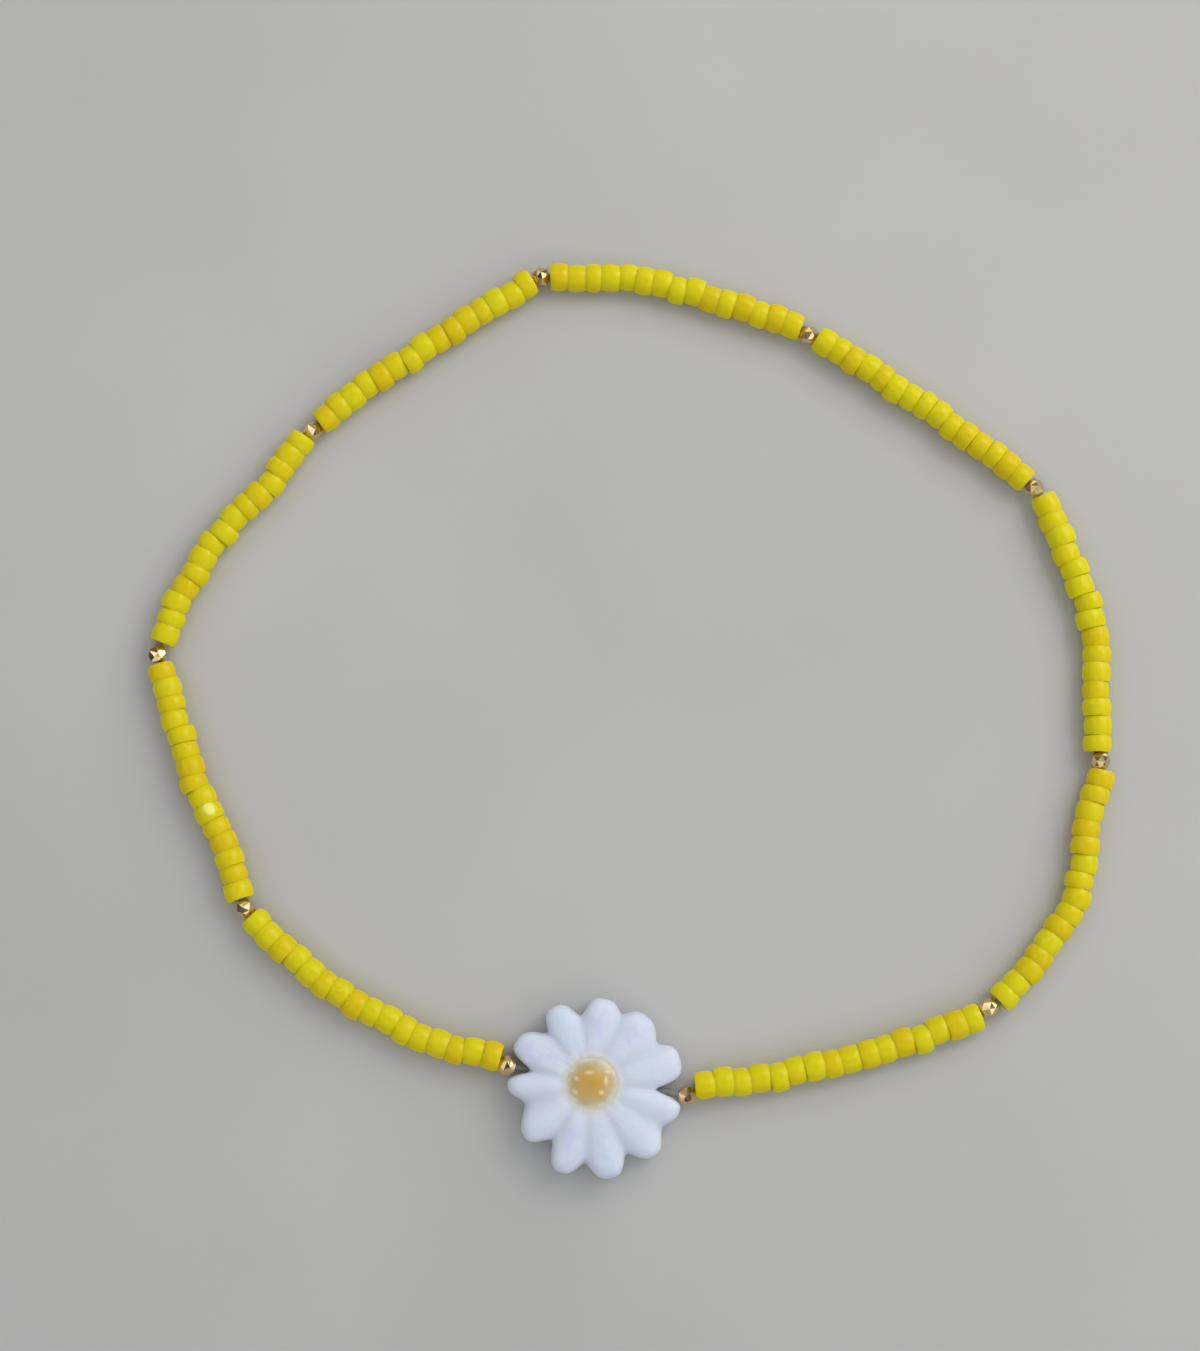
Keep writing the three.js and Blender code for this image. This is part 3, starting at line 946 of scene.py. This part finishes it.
print("nacre at a tip:", [round(part, 2) for part in nacre_and_painted_shade(PETALS[0]["reach"], 0, 0)])

# %% [markdown]
# Every direction gives one column of points, and the points of equal number make a ring. The
# rings are joined as a bead's are, but the daisy has no hole from top to back. So the first and
# the last ring get a lid each: one is on the back, and one is the floor of the seat, where the
# dome hides it.

# %% Build the daisy
GRAIN_ACROSS = 5
GRAIN_ALONG = 0.35


def add_petals():
    """The whole carving, still without the hole for the thread."""
    directions = directions_round_daisy()
    columns = [petal_profile(offset, outline) for _, offset, outline, _ in directions]
    rings, colours, grains = [], [], []
    for row in range(len(columns[0])):
        ring = []
        for (angle, offset, _, petal), column in zip(directions, columns):
            radius, height = column[row]
            ring.append(Vector((radius * math.cos(angle), radius * math.sin(angle), height)) * MM)
            colours += nacre_and_painted_shade(radius, offset, petal)
            around = Vector((math.cos(angle), math.sin(angle))) * GRAIN_ACROSS
            grains += [*around, radius * GRAIN_ALONG]
        rings.append(ring)
    middle = Vector((daisy_middle.x, daisy_middle.y, 0))
    points = [point + middle for ring in rings for point in ring]
    piece = add_piece("carved_petals", points, closed_skin(rings), shell)
    nacre_and_shade = piece.data.attributes.new("nacre_and_shade", "FLOAT_COLOR", "POINT")
    nacre_and_shade.data.foreach_set("color", colours)
    grain = piece.data.attributes.new("grain", "FLOAT_VECTOR", "POINT")
    grain.data.foreach_set("vector", grains)
    return piece


petals = add_petals()
print("petals:", triangle_count(petals), "triangles")

# %% [markdown]
# The thread passes through the daisy from side to side, so the carving needs its hole. Rings that
# leave room for a hole across them would be hard to lay out, so a boolean modifier with a rod
# cuts it instead. Its result becomes the mesh at once, so that the shape is final, and the rod is
# deleted.

# %% Drill the daisy
DAISY_BORE_RADIUS = 0.42 * MM
DAISY_BORE_REACH = 8 * MM
DRILL_SIDES = 24


def drill(piece, start, end, radius):
    """Cuts a round hole through a piece, from start to end."""
    rod_mesh = bpy.data.meshes.new("rod")
    rod = bpy.data.objects.new("rod", rod_mesh)
    along = (end - start).normalized()
    side = sideways(along)
    up = along.cross(side)
    rings = []
    for centre in (start, end):
        angles = [k / DRILL_SIDES * math.tau for k in range(DRILL_SIDES)]
        rings.append([centre + (side * math.cos(a) + up * math.sin(a)) * radius for a in angles])
    points = [point for ring in rings for point in ring]
    rod_mesh.from_pydata(points, [], closed_skin(rings))
    bpy.context.scene.collection.objects.link(rod)
    cut = piece.modifiers.new("hole", "BOOLEAN")
    cut.operation = "DIFFERENCE"
    cut.solver = "EXACT"
    cut.object = rod
    evaluated = piece.evaluated_get(bpy.context.evaluated_depsgraph_get())
    cut_mesh = bpy.data.meshes.new_from_object(evaluated)
    piece.modifiers.clear()
    piece.data = cut_mesh
    bpy.data.objects.remove(rod)


thread_in_daisy = walks[DAISY_STRETCH]
bore_direction = thread_in_daisy.level_direction(thread_in_daisy.length / 2)
bore_middle = box_middle("daisy_thread")
bore_middle.z = BORE_HEIGHT
drill(
    petals,
    bore_middle - bore_direction * DAISY_BORE_REACH,
    bore_middle + bore_direction * DAISY_BORE_REACH,
    DAISY_BORE_RADIUS,
)
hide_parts("daisy_petals")
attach(petals, "root")
print("drilled petals:", triangle_count(petals), "triangles")

# %% [markdown]
# ## The honey dome
#
# In the eye of the daisy sits a drop of honey-coloured resin. It is deep in the middle and pale
# at its rim, where the drop is thin and the shell shines through. Real transparency would need
# many more samples to look clean, so the colour simply follows the distance from the middle,
# which each point carries as an attribute. A ring of low pips stands on the drop, and each carries
# a painted highlight, a paler colour for the light that it mirrors, so a second attribute says
# where they are. Noise shifts the colour a little from place to place, because the resin was not
# stirred quite even. A thin clear coat over a duller body gives it a soft gloss.

# %% Make the honey resin
# the colour of the painted highlight on each pip
PAINTED_PIP_HIGHLIGHT = (0.86, 0.69, 0.36, 1)
RESIN_CLOUDING = 0.07
RESIN_TONES = [
    # share of the way from the middle to the rim, colour
    (0.0, (0.63, 0.37, 0.05)),
    (0.35, (0.66, 0.41, 0.08)),
    (0.6, (0.64, 0.44, 0.15)),
    (0.8, (0.62, 0.49, 0.28)),
    (0.92, (0.71, 0.60, 0.43)),
    (1.0, (0.79, 0.73, 0.60)),
]


def honey_resin():
    material, shader = new_material(
        "honey_resin",
        Roughness=0.32,
        IOR=1.5,
        Subsurface_Weight=0.3,
        Subsurface_Scale=0.4 * MM,
        Coat_Weight=0.25,
        Coat_Roughness=0.12,
    )
    place = add_node(material, "TexCoord").outputs["Object"]
    clouds = add_node(material, "TexNoise", Scale=1500, Detail=3)
    clouding = add_node(material, "MapRange")
    set_range(clouding, NOISE_RANGE, (-RESIN_CLOUDING, RESIN_CLOUDING))
    shift = add_node(material, "Math", operation="ADD")
    rim = add_node(material, "Attribute", attribute_name="rim").outputs["Fac"]
    pip = add_node(material, "Attribute", attribute_name="pip").outputs["Fac"]
    pip_highlight = add_node(material, "Mix", data_type="RGBA")
    # each pip is painted paler, as a highlight
    pip_highlight.inputs["B"].default_value = PAINTED_PIP_HIGHLIGHT
    connect(
        material,
        (place, clouds.inputs["Vector"]),
        (clouds.outputs["Fac"], clouding.inputs["Value"]),
        (clouding.outputs["Result"], shift.inputs[0]),
        (rim, shift.inputs[1]),
        (ramp(material, shift.outputs["Value"], RESIN_TONES), pip_highlight.inputs["A"]),
        (pip, pip_highlight.inputs["Factor"]),
        (pip_highlight.outputs["Result"], shader.inputs["Base Color"]),
    )
    return material


honey = honey_resin()
print("material:", honey.name)

# %% [markdown]
# The dome is a low cap with a short straight side that stands in the seat. A sphere would be the
# wrong curve for so flat a drop, so the height comes from a formula again, and the pips are added
# to it.

# %% Shape the dome
DOME_RADIUS = 1.74
DOME_BASE = 2.03
DOME_SHOULDER = 2.77
DOME_TOP = 3.25
DOME_FULLNESS = 1.25
PIPS = [
    # place on the dome, then half its size along X and Y, all in mm
    (-0.25, 0.72, 0.33, 0.16),
    (1.03, 0.74, 0.27, 0.16),
    (0.96, 0.13, 0.17, 0.36),
    (0.63, -0.67, 0.22, 0.2),
    (-1.22, -0.64, 0.2, 0.22),
    (-1.12, 0.3, 0.22, 0.16),
]
PIP_HEIGHT = 0.08
PIP_SKIRT = 1.4  # times the size of the pip


def pip_share(x, y):
    """1 on top of a pip, falling to 0 at the end of its skirt."""
    distances = [math.hypot((x - px) / wide, (y - py) / high) for px, py, wide, high in PIPS]
    return 1 - smoothstep(min(distances), 0, PIP_SKIRT)


def dome_height(x, y, share):
    """How high the dome is. Its share is 0 in the middle and 1 at the rim."""
    low_dome = (DOME_TOP - PIP_HEIGHT - DOME_SHOULDER) * (1 - share**2) ** DOME_FULLNESS
    return DOME_SHOULDER + low_dome + PIP_HEIGHT * pip_share(x, y)


print("dome is", round(dome_height(0, 0, 0), 2), "mm high in its middle")

# %% [markdown]
# The rings of the dome lie closer together towards its rim, where the surface turns down most.
# Each point also keeps its share of the way to the rim and its share of a pip, for the colours
# and the painted highlights.

# %% Build the dome
DOME_SIDES = 96
DOME_RINGS = 36


def add_dome():
    """The dome, with the two shares that its material reads at each point."""
    rings, rims, pips = [], [], []
    angles = [side / DOME_SIDES * math.tau for side in range(DOME_SIDES)]
    shares = [math.cos(row / DOME_RINGS * math.pi / 2) for row in range(DOME_RINGS)]
    for row, share in enumerate([1, *shares]):
        ring = []
        for angle in angles:
            x, y = math.cos(angle) * DOME_RADIUS * share, math.sin(angle) * DOME_RADIUS * share
            ring.append(Vector((x, y, dome_height(x, y, share) if row else DOME_BASE)))
            rims.append(share)
            pips.append(pip_share(x, y))
        rings.append(ring)
    middle = Vector((daisy_middle.x, daisy_middle.y, 0))
    points = [point * MM + middle for ring in rings for point in ring]
    piece = add_piece("honey_dome", points, closed_skin(rings), honey)
    for name, values in (("rim", rims), ("pip", pips)):
        attribute = piece.data.attributes.new(name, "FLOAT", "POINT")
        attribute.data.foreach_set("value", values)
    return piece


dome = add_dome()
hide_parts("daisy_center")
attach(dome, "root")
print("dome:", triangle_count(dome), "triangles")

# %% [markdown]
# ## The thread
#
# Clear elastic thread fills the holes. It shows only beside the spacers and in the two notches of
# the daisy, but there a bracelet without it would fall apart. Rings could be joined into a tube
# once more, but a curve with a round bevel is made for this: it takes the points of the route and
# stays round at every bend. It is closed, because the knot hides inside a bead. Stretched elastic
# is hazy, so only half of the light goes through it. Its grey is darker than clear elastic's:
# that is painted shade, for the shadow in the notches where the thread shows.

# %% Make the thread and lay it along the route
THREAD_RADIUS = 0.25 * MM
THREAD_STEP = 4  # the thread needs only every fourth point of the route


def clear_thread():
    material, shader = new_material(
        "clear_thread",
        # the grey is darker than clear elastic: painted shade for the shadow in the notches
        Base_Color=(0.42, 0.40, 0.38, 1),
        Roughness=0.3,
        Transmission_Weight=0.5,
        IOR=1.45,
    )
    place = add_node(material, "TexCoord").outputs["Object"]
    haze = add_node(material, "TexNoise", Scale=1800, Detail=2)
    bump = add_node(material, "Bump", Strength=0.2, Distance=0.02 * MM)
    connect(
        material,
        (place, haze.inputs["Vector"]),
        (haze.outputs["Fac"], bump.inputs["Height"]),
        (bump.outputs["Normal"], shader.inputs["Normal"]),
    )
    return material


def add_thread():
    """One closed curve along all the stretches, thickened by its bevel."""
    curve = bpy.data.curves.new("elastic_thread", "CURVE")
    curve.dimensions = "3D"
    curve.bevel_depth = THREAD_RADIUS
    curve.bevel_resolution = 3
    points = [point for route in routes for point in route[:-1:THREAD_STEP]]
    spline = curve.splines.new("POLY")
    spline.points.add(len(points) - 1)
    for knot, point in zip(spline.points, points):
        knot.co = (*point, 1)
    spline.use_cyclic_u = True
    curve.materials.append(clear_thread())
    piece = bpy.data.objects.new("elastic_thread", curve)
    bpy.context.scene.collection.objects.link(piece)
    return piece


thread = add_thread()
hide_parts("daisy_thread")
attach(thread, "root")
print("thread passes", len(thread.data.splines[0].points), "points")

# %% [markdown]
# ## The table
#
# The bracelet lies on a plain pale table top. It is one flat face, many times wider than the
# bracelet, so that no edge shows from above. A camera that comes down low sees its far edge and
# the room behind it, as it would in a real room. Its own colour wanders slightly, as a painted
# board's does.

# %% Lay the table
TABLE_SIZE = 1.6
TABLE_TONES = [(0.3, (0.52, 0.507, 0.487)), (0.7, (0.56, 0.547, 0.526))]


def pale_table():
    material, shader = new_material("pale_table", Roughness=0.9)
    place = add_node(material, "TexCoord").outputs["Object"]
    clouds = add_node(material, "TexNoise", Scale=30, Detail=2)
    connect(material, (place, clouds.inputs["Vector"]))
    colour = ramp(material, clouds.outputs["Fac"], TABLE_TONES)
    connect(material, (colour, shader.inputs["Base Color"]))
    return material


edge = TABLE_SIZE / 2
corners = [(-edge, -edge, 0), (edge, -edge, 0), (edge, edge, 0), (-edge, edge, 0)]
table = add_piece("table_top", corners, [(0, 1, 2, 3)], pale_table(), smooth=False)
print("table top:", TABLE_SIZE, "m square")

# %% [markdown]
# ## The light
#
# One big soft lamp stands at the back right. A small lamp or a sun would give hard shadows, and
# the shadows at the front left of the beads have soft edges, so the lamp is about as wide as it
# stands high.

# %% Hang the lamp
LAMP_PLACE = Vector((0.163, 0.137, 0.175))
LAMP_SIZE = 0.2
LAMP_POWER = 0.27
LAMP_COLOUR = (1.0, 0.985, 0.96)

lamp_data = bpy.data.lights.new("soft_lamp", "AREA")
lamp_data.shape = "DISK"
lamp_data.size = LAMP_SIZE
lamp_data.energy = LAMP_POWER
lamp_data.color = LAMP_COLOUR
lamp = bpy.data.objects.new("soft_lamp", lamp_data)
lamp.location = LAMP_PLACE
lamp.rotation_euler = (-LAMP_PLACE).to_track_quat("-Z", "Y").to_euler()
bpy.context.scene.collection.objects.link(lamp)
print("lamp:", LAMP_POWER, "W")

# %% [markdown]
# The room all round gives the rest of the light. It is brighter towards its window and dim
# straight overhead, where the person stands, and soft dark and light shapes stand for furniture
# and walls. An even grey room would be simpler, but those differences are what give the gold its
# dark and bright facets. Only the direction of the light is needed, so the room is made in the
# world's own nodes.

# %% Light the room round it
ROOM_COLOUR = (0.93, 0.96, 1.0, 1)
DARK_SIDE = 0.30
WINDOW_SIDE = 0.88
WINDOW = Vector((0.35, 0.2, 0.9)).normalized()
WINDOW_SPREAD = (-0.5, 0.95)
OVERHEAD = (0.93, 0.99)
OVERHEAD_SHARE = 0.25
FURNITURE_EDGES = (0.45, 0.58)
FURNITURE_SHARE = (0.12, 1.88)


def room_light():
    """Bright towards the window, dim on the other side and straight overhead."""
    room = bpy.data.worlds.new("room")
    room.use_nodes = True
    background = room.node_tree.nodes["Background"]
    background.inputs["Color"].default_value = ROOM_COLOUR
    direction = add_node(room, "TexCoord").outputs["Generated"]
    towards_window = add_node(room, "VectorMath", operation="DOT_PRODUCT")
    towards_window.inputs[1].default_value = WINDOW
    brightness = add_node(room, "MapRange", interpolation_type="SMOOTHSTEP")
    split = add_node(room, "SeparateXYZ")
    overhead = add_node(room, "MapRange", interpolation_type="SMOOTHSTEP")
    shapes = add_node(room, "TexNoise", Scale=4.5, Detail=1)
    furniture = add_node(room, "MapRange", interpolation_type="SMOOTHSTEP")
    strength = add_node(room, "Math", operation="MULTIPLY")
    uneven_strength = add_node(room, "Math", operation="MULTIPLY")
    set_range(brightness, WINDOW_SPREAD, (DARK_SIDE, WINDOW_SIDE))
    set_range(overhead, OVERHEAD, (1, OVERHEAD_SHARE))
    set_range(furniture, FURNITURE_EDGES, FURNITURE_SHARE)
    connect(
        room,
        (direction, towards_window.inputs[0]),
        (towards_window.outputs["Value"], brightness.inputs["Value"]),
        (direction, split.inputs["Vector"]),
        (split.outputs["Z"], overhead.inputs["Value"]),
        (brightness.outputs["Result"], strength.inputs[0]),
        (overhead.outputs["Result"], strength.inputs[1]),
        (direction, shapes.inputs["Vector"]),
        (shapes.outputs["Fac"], furniture.inputs["Value"]),
        (strength.outputs["Value"], uneven_strength.inputs[0]),
        (furniture.outputs["Result"], uneven_strength.inputs[1]),
        (uneven_strength.outputs["Value"], background.inputs["Strength"]),
    )
    return room


bpy.context.scene.world = room_light()
bpy.context.scene.view_settings.view_transform = "Standard"
print("room: from", DARK_SIDE, "to", WINDOW_SIDE)
